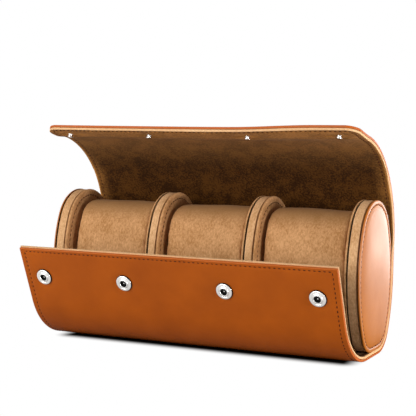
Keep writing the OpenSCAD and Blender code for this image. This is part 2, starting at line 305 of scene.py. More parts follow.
def add_node(tree, kind, settings=None, inputs=None):
    """Adds one node with its settings, input values and links. A node given as an input is
    linked by its first live output."""
    made = tree.nodes.new(kind)
    for key, value in (settings or {}).items():
        setattr(made, key, value)
    for key, value in (inputs or {}).items():
        if isinstance(value, bpy.types.Node):
            value = next(output for output in value.outputs if output.enabled)
        if isinstance(value, bpy.types.NodeSocket):
            tree.links.new(value, made.inputs[key])
        else:
            made.inputs[key].default_value = value
    return made


def named(obj, name):
    """Names an object and its mesh."""
    obj.name = name
    obj.data.name = name
    return obj


def link_new(name, data):
    """A new object in the scene for a mesh, a lamp or a camera."""
    obj = bpy.data.objects.new(name, data)
    bpy.context.collection.objects.link(obj)
    return obj


def deselect_all():
    """Leaves edit mode and selects nothing."""
    if bpy.context.object and bpy.context.object.mode != "OBJECT":
        bpy.ops.object.mode_set(mode="OBJECT")
    bpy.ops.object.select_all(action="DESELECT")


def take(obj):
    """Makes obj the only selected and active object."""
    deselect_all()
    obj.select_set(True)
    bpy.context.view_layer.objects.active = obj


def edit(obj, kind="FACE", select="DESELECT"):
    """Opens obj in edit mode with nothing or all of it selected."""
    take(obj)
    bpy.ops.object.mode_set(mode="EDIT")
    bpy.ops.mesh.select_mode(type=kind)
    bpy.ops.mesh.select_all(action=select)
    return bmesh.from_edit_mesh(obj.data)


def pick(obj, elements, chosen):
    """Selects the edit mesh's elements that a test chooses, and says whether there are any."""
    for element in elements:
        element.select_set(chosen(element))
    bmesh.update_edit_mesh(obj.data)
    return any(element.select for element in elements)


def face_outwards(obj):
    """Turns all faces of a mesh outwards, and leaves it in edit mode."""
    edit(obj, select="SELECT")
    bpy.ops.mesh.normals_make_consistent(inside=False)


def shade(sharp):
    """Shades the object in hand smooth up to a sharp angle in degrees."""
    bpy.ops.object.mode_set(mode="OBJECT")
    bpy.ops.object.shade_smooth_by_angle(angle=math.radians(sharp))


def finish_mesh(obj, sharp=40):
    """Merges doubles, turns faces outwards and shades smooth."""
    edit(obj, select="SELECT")
    bpy.ops.mesh.remove_doubles(threshold=NEAR)
    bpy.ops.mesh.normals_make_consistent(inside=False)
    shade(sharp)
    return obj


def set_place(obj, matrix, sharp=40):
    """Puts a solid's place into its mesh, so that the object sits at the origin."""
    obj.data.transform(matrix)
    if matrix.determinant() < 0:
        obj.data.flip_normals()
    return finish_mesh(obj, sharp)


def apply(obj, modifier):
    """Applies one modifier."""
    take(obj)
    bpy.ops.object.modifier_apply(modifier=modifier.name)


def join(name, parts):
    """Joins parts into one object."""
    deselect_all()
    for part in parts:
        part.select_set(True)
    bpy.context.view_layer.objects.active = parts[0]
    bpy.ops.object.join()
    return named(bpy.context.object, name)


def seat(obj, body, nodes=()):
    """Lets obj ride on a body, in place of CAD nodes."""
    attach(obj, body)
    if nodes:
        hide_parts(*nodes)
    return obj


# ---------------------------------------------------------------- materials

COLOUR_MIX = {"data_type": "RGBA"}
SOFT_STEP = {"interpolation_type": "SMOOTHSTEP"}
# How far down from a pillow's top its painted shade reaches
PILLOW_TOP_SHADE_DEPTH = 0.011

# Widths of the patterns' cells in millimetres. Real pores, grain and nap are 0.1 to 0.3 mm wide,
# and handling marks finer still: they are drawn as coarse as they need to be to show.
DYE_PATCH = 35.7
PORE = 0.667
GRAIN = 1.43
NAP_PATCH = 13.33
NAP_SPECKLE = 1.053
EDGE_STREAK = 2.5
THREAD_PLY = 0.349
HANDLING_MARK = 1.11
BOARD_FIBRE = 1.67
WAVES_PER_UNIT = 20 / (2 * math.pi)


def cells(millimetres):
    """The scale that makes a pattern's cells this wide, where coordinates are in metres."""
    return 1000 / millimetres


def darker(colour, share):
    """A colour at a share of its light."""
    return (*(part * share for part in colour[:3]), 1.0)


def new_material(name, pattern="Object"):
    """An empty material, its node tree and the coordinates that its patterns follow."""
    material = bpy.data.materials.new(name)
    material.use_nodes = True
    tree = material.node_tree
    tree.nodes.clear()
    return material, tree, add_node(tree, "ShaderNodeTexCoord").outputs[pattern]


def close_material(material, looks):
    """Ends a material with one surface of these looks."""
    tree = material.node_tree
    surface = add_node(tree, "ShaderNodeBsdfPrincipled", inputs=looks)
    add_node(tree, "ShaderNodeOutputMaterial", inputs={"Surface": surface})
    return material


def leather_material(name, full, deep, pattern, roughness, lustre):
    """Smooth-finished calf leather, dyed through and rolled: a soft gloss over a very fine
    grain, with the dye a little uneven."""
    material, tree, place = new_material(name, pattern)
    patches = {"Vector": place, "Scale": cells(DYE_PATCH), "Detail": 4.0, "Roughness": 0.6}
    cloud = add_node(tree, "ShaderNodeTexNoise", inputs=patches)
    dyed = {"Value": cloud, "From Min": 0.3, "From Max": 0.7}
    tone = add_node(tree, "ShaderNodeMapRange", inputs=dyed)
    colour = add_node(tree, "ShaderNodeMix", COLOUR_MIX, {"Factor": tone, "A": deep, "B": full})
    dots = {"Vector": place, "Scale": cells(PORE)}
    pores = add_node(tree, "ShaderNodeTexVoronoi", {"feature": "DISTANCE_TO_EDGE"}, dots)
    creases = {"Vector": place, "Scale": cells(GRAIN), "Detail": 3.0}
    grain = add_node(tree, "ShaderNodeTexNoise", inputs=creases)
    relief = add_node(tree, "ShaderNodeMath", {"operation": "MULTIPLY_ADD"}, {0: pores, 1: 0.5, 2: grain})
    bump = add_node(
        tree, "ShaderNodeBump", inputs={"Strength": 0.18, "Distance": 0.00012, "Height": relief}
    )
    rolled = {**dyed, "To Min": roughness + 0.05, "To Max": roughness - 0.04}
    gloss = add_node(tree, "ShaderNodeMapRange", inputs=rolled)
    looks = {"Base Color": colour, "Roughness": gloss, "IOR": 1.48, "Specular IOR Level": lustre}
    return close_material(material, {**looks, "Normal": bump})


def suede_tone(tree, place, mottle):
    """The height of the nap, and how it lies from 0 to 1: soft patches and a fine speckle."""
    patches = add_node(
        tree,
        "ShaderNodeTexNoise",
        inputs={
            "Vector": place,
            "Scale": cells(NAP_PATCH),
            "Detail": 5.0,
            "Roughness": 0.62,
            "Distortion": 0.6,
        },
    )
    combed = add_node(
        tree,
        "ShaderNodeMapping",
        inputs={"Vector": place, "Rotation": (0.0, 0.6, 0.6), "Scale": (1.0, 1.0, 0.55)},
    )
    speckle = add_node(
        tree,
        "ShaderNodeTexNoise",
        inputs={"Vector": combed, "Scale": cells(NAP_SPECKLE), "Detail": 2.0, "Roughness": 0.7},
    )
    height = add_node(
        tree, "ShaderNodeMath", {"operation": "MULTIPLY_ADD"}, {0: speckle, 1: 1.2, 2: patches}
    )
    span = {"Value": height, "From Min": 1.1 - mottle, "From Max": 1.1 + mottle}
    return height, add_node(tree, "ShaderNodeMapRange", inputs=span)


def close_suede(material, colour, height):
    """Ends a suede: matt fibres that scatter light, with a faint warm sheen at a glance."""
    bump = add_node(
        material.node_tree,
        "ShaderNodeBump",
        inputs={"Strength": 0.5, "Distance": 0.00025, "Height": height},
    )
    looks = {"Base Color": colour, "Roughness": 0.95, "Specular IOR Level": 0.05, "Normal": bump}
    sheen = {"Sheen Weight": 0.04, "Sheen Roughness": 0.5, "Sheen Tint": (1.0, 0.85, 0.68, 1.0)}
    return close_material(material, {**looks, **sheen})


def suede_material(name, full, deep, mottle):
    """Microfibre suede, brushed: a matt nap of short fibres that lies this way and that."""
    material, tree, place = new_material(name)
    height, tone = suede_tone(tree, place, mottle)
    colour = add_node(tree, "ShaderNodeMix", COLOUR_MIX, {"Factor": tone, "A": deep, "B": full})
    return close_suede(material, colour, height)


def pillow_material(name, full, deep, crown, mottle):
    """The same suede on a pillow, darker towards its top as painted shade, where less light falls."""
    material, tree, place = new_material(name)
    height, tone = suede_tone(tree, place, mottle)
    colour = add_node(tree, "ShaderNodeMix", COLOUR_MIX, {"Factor": tone, "A": deep, "B": full})
    # Painted shade: towards the pillow's top the colour goes over to the darker crown colour
    level = add_node(tree, "ShaderNodeSeparateXYZ", inputs={"Vector": place}).outputs["Z"]
    rise = {"Value": level, "From Min": PILLOW_TOP_Z - PILLOW_TOP_SHADE_DEPTH, "From Max": PILLOW_TOP_Z + 0.001}
    up = add_node(tree, "ShaderNodeMapRange", SOFT_STEP, {**rise, "To Max": 0.85})
    laid = add_node(tree, "ShaderNodeMix", COLOUR_MIX, {"Factor": up, "A": colour, "B": crown})
    return close_suede(material, laid, height)


def lining_material(name, full, deep, brushed, mottle):
    """The same suede as a lining, darkened as painted shade for the inside of the case. It is paler in
    strips along its free edges, and across the lid it has painted light: lighter upwards from the lid's
    middle, and pale from a little below the crease to the free edge. Its UV map gives metres from the
    middle and from the flap's hinge."""
    material, tree, place = new_material(name, "UV")
    height, tone = suede_tone(tree, place, mottle)
    axes = add_node(tree, "ShaderNodeSeparateXYZ", inputs={"Vector": place})
    side = add_node(tree, "ShaderNodeMath", {"operation": "ABSOLUTE"}, {0: axes.outputs["X"]})
    # Each strip: what it is measured along, where it begins and is full, and how pale it gets. The strips
    # along the sides and at the flap's end make the free edges paler; the two across the lid are painted
    # light, rising towards the studs and full past the crease.
    strips = (
        (side, LINING_END_X - 0.0020, LINING_END_X - 0.0010, 1.0),
        (side, LINING_END_X - 0.0110, LINING_END_X - 0.0030, 0.3),
        (axes.outputs["Y"], CREASE_S - 0.0180, CREASE_S + 0.0030, 0.9),
        (axes.outputs["Y"], STUD_S - 0.0560, STUD_S - 0.0100, 0.72),
        (axes.outputs["Y"], -FLAP_LEN + 0.0060, -FLAP_LEN + 0.0030, 1.0),
    )
    lighter_edges_and_painted_light = 0.0
    for away, inner, outer, most in strips:
        span = {"Value": away, "From Min": inner, "From Max": outer, "To Max": most}
        strip = add_node(tree, "ShaderNodeMapRange", SOFT_STEP, span)
        lighter_edges_and_painted_light = add_node(tree, "ShaderNodeMath", {"operation": "MAXIMUM"}, {0: lighter_edges_and_painted_light, 1: strip})
    flat = add_node(tree, "ShaderNodeMix", COLOUR_MIX, {"Factor": tone, "A": deep, "B": full})
    # Painted light: the strips blend in the lighter copy of the suede
    painted_light_nap = add_node(
        tree, "ShaderNodeMix", COLOUR_MIX, {"Factor": tone, "A": darker(brushed, 0.62), "B": brushed}
    )
    colour = add_node(
        tree, "ShaderNodeMix", COLOUR_MIX, {"Factor": lighter_edges_and_painted_light, "A": flat, "B": painted_light_nap}
    )
    return close_suede(material, colour, height)


def streaked_material(name, colour):
    """A sanded surface with a low gloss, a little streaked: the leather's dyed and burnished edge, and the
    near-black steel that paints shade into the snaps' wells, walls, springs and posts."""
    material, tree, place = new_material(name)
    streaks = {"Vector": place, "Scale": cells(EDGE_STREAK), "Detail": 2.0}
    streak = add_node(tree, "ShaderNodeTexNoise", inputs=streaks)
    span = {"Factor": streak, "A": darker(colour, 0.8), "B": colour}
    tone = add_node(tree, "ShaderNodeMix", COLOUR_MIX, span)
    looks = {"Base Color": tone, "Roughness": 0.5, "IOR": 1.48, "Specular IOR Level": 0.15}
    return close_material(material, looks)


def thread_material(name, colour):
    """Bonded polyester thread, twisted: its plies show as slanting ridges."""
    material, tree, place = new_material(name)
    ridges = {"Vector": place, "Scale": cells(THREAD_PLY) / WAVES_PER_UNIT, "Distortion": 1.0}
    plies = add_node(tree, "ShaderNodeTexWave", {"bands_direction": "DIAGONAL"}, ridges).outputs["Fac"]
    span = {"Factor": plies, "A": darker(colour, 0.55), "B": colour}
    tone = add_node(tree, "ShaderNodeMix", COLOUR_MIX, span)
    bump = add_node(tree, "ShaderNodeBump", inputs={"Strength": 0.4, "Distance": 0.0001, "Height": plies})
    looks = {"Base Color": tone, "Roughness": 0.6, "Specular IOR Level": 0.1, "Normal": bump}
    return close_material(material, looks)


def nickel_material(name, colour):
    """Brass snap, stamped, polished and nickel plated: bright, with faint handling marks."""
    material, tree, place = new_material(name)
    scuffs = {"Vector": place, "Scale": cells(HANDLING_MARK), "Detail": 4.0}
    marks = add_node(tree, "ShaderNodeTexNoise", inputs=scuffs)
    gloss = add_node(tree, "ShaderNodeMapRange", inputs={"Value": marks, "To Min": 0.12, "To Max": 0.26})
    bump = add_node(tree, "ShaderNodeBump", inputs={"Strength": 0.05, "Distance": 0.0001, "Height": marks})
    looks = {"Base Color": colour, "Metallic": 1.0, "Roughness": gloss, "Normal": bump}
    return close_material(material, looks)


def board_material(name, colour):
    """Pressed fibre board, raw: dull, with fibres in it."""
    material, tree, place = new_material(name)
    felt = {"Vector": place, "Scale": cells(BOARD_FIBRE), "Detail": 5.0}
    fibres = add_node(tree, "ShaderNodeTexNoise", inputs=felt)
    span = {"Factor": fibres, "A": darker(colour, 0.6), "B": colour}
    tone = add_node(tree, "ShaderNodeMix", COLOUR_MIX, span)
    return close_material(material, {"Base Color": tone, "Roughness": 0.9})


# Each finish: what makes it, its colours, and its pattern, roughness, lustre or mottle
FINISHES = {
    "wrap_calf_leather": (leather_material, ("leather", "leather_deep"), ("UV", 0.44, 0.16)),
    "cap_calf_leather": (leather_material, ("cap", "cap_deep"), ("Object", 0.42, 0.45)),
    "burnished_leather_edge": (streaked_material, ("edge",), ()),
    "brushed_sand_suede": (suede_material, ("suede", "suede_deep"), (0.25,)),
    "pillow_sand_suede": (pillow_material, ("suede", "suede_deep", "crown"), (0.25,)),
    "taut_sand_suede": (suede_material, ("taut", "band_lit_deep"), (0.25,)),
    "brushed_lining_suede": (lining_material, ("lining", "lining_deep", "lining_lit"), (0.14,)),
    "suede_cut_edge": (suede_material, ("cut_edge", "suede"), (0.5,)),
    "darkened_spring_steel": (streaked_material, ("snap_shade_black",), ()),
    "bonded_thread": (thread_material, ("thread",), ()),
    "polished_nickel": (nickel_material, ("nickel",), ()),
    "pressed_fibre_board": (board_material, ("board",), ()),
}


def finish(key):
    """The material for a finish, made the first time that it is asked for."""
    if key in bpy.data.materials:
        return bpy.data.materials[key]
    maker, colours, rest = FINISHES[key]
    chosen = [tuple(getattr(bpy.context.scene.case_colours, colour)) for colour in colours]
    return maker(key, *chosen, *rest)


def paint(obj, *keys):
    """Gives obj its finishes, in the order of its faces' material numbers."""
    numbers = [polygon.material_index for polygon in obj.data.polygons]
    obj.data.materials.clear()
    for key in keys:
        obj.data.materials.append(finish(key))
    obj.data.polygons.foreach_set("material_index", numbers)
    return obj


# ---------------------------------------------------------------- sheets of the wrap

# Each panel from one hinge's middle to the next: its bodies and the bodies whose nodes it replaces
PANELS = (
    ("front", -FLAP_LEN, 0.012, ("base", "flap"), ("flap", "base")),
    ("back", 0.012, BASE_LEN + BACK_FOLD / 2, ("base", "lid_back"), ()),
    (
        "crown",
        BASE_LEN + BACK_FOLD / 2,
        BASE_LEN + (BACK_FOLD + TOP_FOLD) / 2,
        ("lid_back", "lid_top"),
        ("lid_back", "lid_top"),
    ),
    ("tip", BASE_LEN + (BACK_FOLD + TOP_FOLD) / 2, WRAP_END, ("lid_top", "lid_front"), ("lid_front",)),
)
CELL = 0.0016
EDGE_SWELL = 0.00026
SWELL_FROM, SWELL_TO = 0.0018, 0.0026
BOARD_TRIM = 0.0034
FOLD_REACH = 0.008
FLAP_BEND = ((0, -0.008, 0), (0, -0.018, 0))
BACK_BEND = ((0, 0, LID_HINGE_Z - FOLD_REACH), (0, 0, LID_HINGE_Z + FOLD_REACH))
SOCKET_S = -(FLAP_LEN - 0.0194)
SNAP_X = (-0.0890, -0.0327, 0.0327, 0.0890)
BARREL_R = 0.0024

# Where a strip's mesh is made finer: along its free edges, round the snaps and at the crease
FINE_EDGE = 0.0055
FINE_SNAP = 0.0095
FINE_CREASE = (CREASE_S - 0.005, STUD_S + 0.002)

# Forms pressed into the faces, as depths and half-widths
SOCKET_DIMPLES = ((0.0092, 0.00025), (0.0062, 0.00025))
STUD_DIMPLE = (0.0075, 0.0004)
LEATHER_SEAM = (0.00024, 0.0008)
LINING_SEAM = (0.00022, 0.0009)
CREASE_DEPTH, CREASE_WIDTH, CREASE_WANDER = 0.00045, 0.0012, 0.0012
CREASE_LIP, CREASE_LIP_WIDTH = 0.00035, 0.0035
STUD_CREASE, STUD_CREASE_WIDTH, STUD_CREASE_REACH = 0.00045, 0.0006, 0.015
STUD_CREASE_DRIFT = 0.0006
LEATHER_RIPPLE = 0.00006
LINING_RIPPLE = 0.00022

# Where the crease fades in: along the lid, towards its sides, and away from a stud
CREASE_ALONG = (BASE_LEN + 0.02, WRAP_END - 0.03)
CREASE_SIDES = (0.002, 0.012)
CREASE_STUDS = (0.0015, 0.0035)


def bend_with_joint(obj, panel):
    """Works out where a panel's joint begins and ends, which nothing uses, and puts a piece's place into
    its mesh.
    """
    if panel == "front":
        start, end = FLAP_BEND
    elif panel == "back":
        start, end = BACK_BEND
    else:
        fold = BASE_LEN + (BACK_FOLD if panel == "crown" else TOP_FOLD)
        start, end = (on_wrap(0, fold + reach, WRAP / 2) for reach in (-FOLD_REACH, FOLD_REACH))
    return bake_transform(obj)


def round_corner(x, s):
    """Draws a flat point in where the lid's two free corners are cut round."""
    u = (abs(x) - LINING_END_X + LID_CORNER_R) / LID_CORNER_R
    v = (s - WRAP_END + LID_CORNER_R) / LID_CORNER_R
    if u <= 0 or v <= 0:
        return x, s
    pull = (1 - max(u, v) / math.hypot(u, v)) * LID_CORNER_R
    return x - math.copysign(u * pull, x), s - v * pull


def bend_flat(obj):
    """Bends a mesh that lies flat, with x along the case, y along the wrap's course and z out
    of its outer face, into the wrap."""
    for vertex in obj.data.vertices:
        x, s = round_corner(vertex.co.x, vertex.co.y)
        vertex.co = on_wrap(x, s, -vertex.co.z)
    return obj


def ripple(*spot):
    """Smooth noise from about -1 to 1. One unit is a ripple's width, so a length in metres is
    multiplied by the ripples in a metre."""
    return noise.noise(Vector(spot))


def furrow(gap, width):
    """1 in the middle of a soft groove of a half-width, and falling to 0 beside it."""
    return math.exp(-((gap / width) ** 2))


def snap_gap(x, s, at_s):
    """How far a flat point is from the nearest snap of the row at at_s."""
    return min(math.hypot(x - snap_x, s - at_s) for snap_x in SNAP_X)


def snap_pull(x, s, at_s, reach, depth):
    """How far a snap presses the skin in round itself."""
    return depth * (1 - smooth(reach * 0.5, reach, snap_gap(x, s, at_s)))


def seam_pull(x, s, depth, width):
    """How far the seams along the wrap's free edges draw a face in."""
    sizes = context_sizes()
    gaps = (
        sizes.half_length - abs(x) - sizes.side_inset,
        s + FLAP_LEN - sizes.lining_edge - sizes.stitch_inset,
        WRAP_END - s - sizes.stitch_inset,
    )
    return depth * furrow(min(abs(gap) for gap in gaps), width)


def leather_relief(x, s):
    """How far the leather's outer face lies below true: dimples at the sockets, seam furrows."""
    low = sum(snap_pull(x, s, SOCKET_S, *dimple) for dimple in SOCKET_DIMPLES)
    return low + seam_pull(x, s, *LEATHER_SEAM) + LEATHER_RIPPLE * ripple(x * 30, s * 30, 3.0)


def lining_relief(x, s):
    """How far the lining's face lies below true: studs, the crease under them, fine wrinkles."""
    low = snap_pull(x, s, STUD_S, *STUD_DIMPLE) + seam_pull(x, s, *LINING_SEAM)
    crease = s - CREASE_S - CREASE_WANDER * ripple(x * 18, 0.0, 7.0)
    to_side = context_sizes().half_length - abs(x)
    lid = smooth(*CREASE_ALONG, s) * smooth(*CREASE_SIDES, to_side)
    low += lid * CREASE_DEPTH * furrow(crease, CREASE_WIDTH)
    low -= lid * CREASE_LIP * furrow(crease, CREASE_LIP_WIDTH)
    for number, snap_x in enumerate(SNAP_X):
        away = abs(x - snap_x)
        drift = STUD_CREASE_DRIFT * ripple(x * 40, number, 2.0)
        reach = math.exp(-away / STUD_CREASE_REACH) * smooth(*CREASE_STUDS, away)
        low += lid * STUD_CREASE * reach * furrow(s - STUD_S + drift, STUD_CREASE_WIDTH)
    return low + LINING_RIPPLE * ripple(x * 45, s * 60, 9.0)


def edge_gap(x, s, half, ends):
    """How far a flat point is from a panel's nearest free edge."""
    return min([half - abs(x)] + [abs(s - end) for end in ends])


def pick_faces(strip, wanted):
    """Selects the faces of a flat strip whose middles are wanted, if there are any."""
    mesh = edit(strip)
    return pick(strip, mesh.faces, lambda face: wanted(*face.calc_center_median().xy))


def refine(strip, wanted, cuts):
    """Divides the faces of a flat strip whose middles are wanted."""
    if pick_faces(strip, wanted):
        bpy.ops.mesh.subdivide(number_cuts=cuts, quadcorner="INNERVERT")
    bpy.ops.object.mode_set(mode="OBJECT")


def lay_strip(name, half, start, end, level):
    """A flat grid at a level, from start to end along the wrap's course."""
    deselect_all()
    across = int(2 * half / CELL)
    length = int((end - start) / CELL)
    bpy.ops.mesh.primitive_grid_add(x_subdivisions=across, y_subdivisions=length, size=2)
    strip = named(bpy.context.object, name)
    for vertex in strip.data.vertices:
        along_s = start + (vertex.co.y + 1) / 2 * (end - start)
        vertex.co = Vector((vertex.co.x * half, along_s, level))
    return strip


def refine_strip(strip, half, free_ends, outside):
    """Makes a strip's mesh fine where its face is modelled, and cuts the leather's holes for
    the sockets' barrels."""
    snap_s = SOCKET_S if outside else STUD_S
    refine(strip, lambda x, s: edge_gap(x, s, half, free_ends) < FINE_EDGE, 1)
    refine(strip, lambda x, s: snap_gap(x, s, snap_s) < FINE_SNAP, 2)
    if not outside:
        refine(strip, lambda x, s: FINE_CREASE[0] < s < FINE_CREASE[1], 1)
    elif pick_faces(strip, lambda x, s: snap_gap(x, s, SOCKET_S) < BARREL_R):
        bpy.ops.mesh.delete(type="FACE")


def round_rim(strip, half, free_ends, shown, rounding):
    """Rounds a thick strip's free edges on the side that shows."""

    def on_rim(edge):
        mid = (edge.verts[0].co + edge.verts[1].co) / 2
        flat = all(abs(vertex.co.z - shown) < NEAR for vertex in edge.verts)
        at_end = abs(abs(mid.x) - half) < NEAR or any(abs(mid.y - s) < NEAR for s in free_ends)
        return flat and at_end and len(edge.link_faces) == 2 and edge.calc_face_angle(0) > 1

    mesh = edit(strip, "EDGE")
    pick(strip, mesh.edges, on_rim)
    bpy.ops.mesh.bevel(offset=rounding, segments=3, profile=0.5, affect="EDGES", clamp_overlap=True)


def map_strip(strip, outwards):
    """Gives a flat strip its map in metres, and its shown faces and its edges their numbers."""
    face_outwards(strip)
    mesh = bmesh.from_edit_mesh(strip.data)
    plan = mesh.loops.layers.uv.verify()
    for face in mesh.faces:
        face.material_index = 0 if face.normal.z * outwards > 0.97 else 1
        for loop in face.loops:
            loop[plan].uv = loop.vert.co.xy
    return mesh


def cut_panel(name, half, start, end, free_ends, outer, inner, relief, outside, rounding):
    """A flat strip of one layer, with its free edges rounded and its face modelled, then bent.
    Towards its free edges a layer swells to close over the board, which ends short."""
    strip = lay_strip(name, half, start, end, -outer)
    shown, hidden = (-outer, -inner) if outside else (-inner, -outer)
    outwards = 1 if outside else -1
    if relief:
        refine_strip(strip, half, free_ends, outside)
    edit(strip, select="SELECT")
    bpy.ops.mesh.extrude_region_move(TRANSFORM_OT_translate={"value": (0, 0, outer - inner)})
    if rounding:
        round_rim(strip, half, free_ends, shown, rounding)
    mesh = map_strip(strip, outwards)
    for vertex in mesh.verts if relief else ():
        x, s, level = vertex.co
        if abs(level - shown) < NEAR:
            vertex.co.z -= relief(x, s) * outwards
        elif abs(level - hidden) < NEAR:
            closing = 1 - smooth(SWELL_FROM, SWELL_TO, edge_gap(x, s, half, free_ends))
            vertex.co.z -= closing * outwards * EDGE_SWELL
    bmesh.update_edit_mesh(strip.data)
    bpy.ops.object.mode_set(mode="OBJECT")
    bend_flat(strip)
    face_outwards(strip)
    shade(50)
    return strip


# ---------------------------------------------------------------- stitching

STITCH_SLANT = Matrix.Rotation(math.radians(4), 4, "Z")
STITCH_DIP = 0.45
STITCH_SQUARE = 0.75

# The stitches' level on the wrap's outer and inner face, and the way that each faces
SEAM_FACES = ((-0.00020, 1), (-WRAP + 0.00012, -1))


def stitch_shape():
    """One stitch: a plump little thread that dips into its two holes."""
    sizes = context_sizes()
    deselect_all()
    bpy.ops.mesh.primitive_uv_sphere_add(segments=8, ring_count=6, radius=1)
    stitch = bpy.context.object
    for vertex in stitch.data.vertices:
        wide, high, along_it = vertex.co
        squared = math.copysign(abs(along_it) ** STITCH_SQUARE, along_it)
        drop = STITCH_DIP * sizes.thread * squared**2
        vertex.co = Vector(
            (squared * sizes.stitch_length / 2, wide * sizes.thread / 2, high * sizes.thread / 2 - drop)
        )
    return stitch


def sew(name, places):
    """Copies the stitch to each place, a matrix, as one piece of thread."""
    stitch = stitch_shape()
    seam = bmesh.new()
    for matrix in places:
        start = len(seam.verts)
        seam.from_mesh(stitch.data)
        seam.verts.ensure_lookup_table()
        for vertex in seam.verts[start:]:
            vertex.co = matrix @ vertex.co
    mesh = bpy.data.meshes.new(name)
    seam.to_mesh(mesh)
    seam.free()
    bpy.data.objects.remove(stitch, do_unlink=True)
    return finish_mesh(link_new(name, mesh), 60)


def flat_seam(start, end, height, over):
    """Places of the stitches on a straight seam of a flat strip, from (x, s) to (x, s); over
    is 1 on its outer face and -1 on its inner face."""
    run = Vector(end) - Vector(start)
    count = max(1, round(run.length / context_sizes().stitch_pitch))
    turn = Matrix.Rotation(math.atan2(run.y, run.x), 4, "Z")
    flip = Matrix.Scale(over, 4, (0, 0, 1))
    places = []
    for i in range(count):
        spot = Vector(start) + run * (i + 0.5) / count
        places.append(Matrix.Translation((spot.x, spot.y, height)) @ flip @ turn @ STITCH_SLANT)
    return places


def wrap_seams(panel, start, end):
    """Stitches on both faces of one panel, along its free edges."""
    sizes = context_sizes()
    side = sizes.half_length - sizes.side_inset
    if panel == "front":
        start = end_seam = -FLAP_LEN + sizes.lining_edge + sizes.stitch_inset
    if panel == "tip":
        end = end_seam = WRAP_END - sizes.stitch_inset
    places = []
    for height, over in SEAM_FACES:
        for x in (-side, side):
            places += flat_seam((x, start), (x, end), height, over)
        if panel in ("front", "tip"):
            places += flat_seam((-side, end_seam), (side, end_seam), height, over)
    return places


class CASE_OT_wrap(bpy.types.Operator):
    """Cut, stitch and bend the leather, board and lining"""

    bl_idname = "case.wrap"
    bl_label = "Wrap"

    def execute(self, context):
        sizes = context.scene.case_sizes
        board, lining = sizes.leather, sizes.leather + sizes.board
        # Each layer: its depths, its trims at the sides and at the flap's end, the relief of its
        # face and the rounding of its edges
        layers = (
            ("leather", 0.0, board, 0.0, sizes.lining_edge, leather_relief, 0.00042),
            ("board", board, lining, BOARD_TRIM, BOARD_TRIM, None, 0.0),
            ("lining", lining, WRAP, 0.0, 0.0, lining_relief, 0.00055),
        )
        # Each layer's slot, and the finishes of its face and edges
        looks = {
            "leather": ("wrap_leather", "wrap_calf_leather", "burnished_leather_edge"),
            "board": ("board", "pressed_fibre_board", "pressed_fibre_board"),
            "lining": ("lining_suede", "brushed_lining_suede", "suede_cut_edge"),
        }
        for panel, start, end, bodies, replaced in PANELS:
            for layer, outer, inner, trim, flap_trim, relief, rounding in layers:
                low = start + flap_trim if panel == "front" else start
                high = end - trim if panel == "tip" else end
                free_ends = {"front": [low], "tip": [high]}.get(panel, [])
                half = sizes.half_length - trim
                outside = layer == "leather"
                strip = cut_panel(
                    f"{panel}_{layer}", half, low, high, free_ends, outer, inner, relief, outside, rounding
                )
                slot, *finishes = looks[layer]
                paint(strip, *finishes)
                bend_with_joint(strip, panel)
                if replaced:
                    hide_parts(*(f"{body}_{layer}" for body in replaced))
            thread = sew(f"{panel}_thread", wrap_seams(panel, start, end))
            finish_mesh(bend_flat(thread), 60)
            paint(thread, "bonded_thread")
            bend_with_joint(thread, panel)
        return {"FINISHED"}


# ---------------------------------------------------------------- caps and dividers

ARC_STEP = math.radians(3)
CAP_CLEARANCE = 0.0004
BAND_INSET = 0.0002
BAND_EDGE = 0.00015
CORE_INSET = 0.0020

# A face's rounded edge and the height of its dome
CAP_EDGE, CAP_DOME = 0.0007, 0.0018
SUEDE_EDGE, SUEDE_DOME = 0.0012, 0.0005

# The seam's furrow: its depth, and its steps in and out as insets and shares of the depth
FURROW = 0.0004
FURROW_STEPS = ((0.0004, -0.5), (0.0003, -0.5), (0.0003, 0.5), (0.0004, 0.5))

# A dome's rings, steepest near the rim: the scale and the share of the height of each
DOME_RINGS = (
    (0.93, 0.26),
    (0.91, 0.22),
    (0.88, 0.17),
    (0.84, 0.13),
    (0.76, 0.11),
    (0.60, 0.07),
    (0.40, 0.04),
)


def arc_points(centre, radius, start, end):
    """Points along an arc, both ends included."""
    count = math.ceil(abs(end - start) / ARC_STEP)
    angles = [start + (end - start) * i / count for i in range(count + 1)]
    return [(centre[0] + radius * math.cos(a), centre[1] + radius * math.sin(a)) for a in angles]


def oval_outline(inset):
    """The oval of the caps and dividers at an inset, about its own middle."""
    half = arc_points((FOOT_HALF, CORNER_R - HALF_HEIGHT), CORNER_R - inset, -math.pi / 2, -LOWER_TURN)
    half += arc_points((HALF_DEPTH - LOWER_SIDE_R, 0), LOWER_SIDE_R - inset, -LOWER_TURN, 0)[1:]
    half += arc_points((HALF_DEPTH - UPPER_SIDE_R, 0), UPPER_SIDE_R - inset, 0, UPPER_TURN)[1:]
    half += arc_points((0, HALF_HEIGHT - SHOULDER_R), SHOULDER_R - inset, UPPER_TURN, math.pi / 2)[1:]
    return half + [(-y, z) for y, z in reversed(half[:-1])]


def round_outline(radius, count=48):
    """A circle as an outline."""
    angles = [2 * math.pi * i / count for i in range(count)]
    return [(radius * math.cos(a), radius * math.sin(a)) for a in angles]


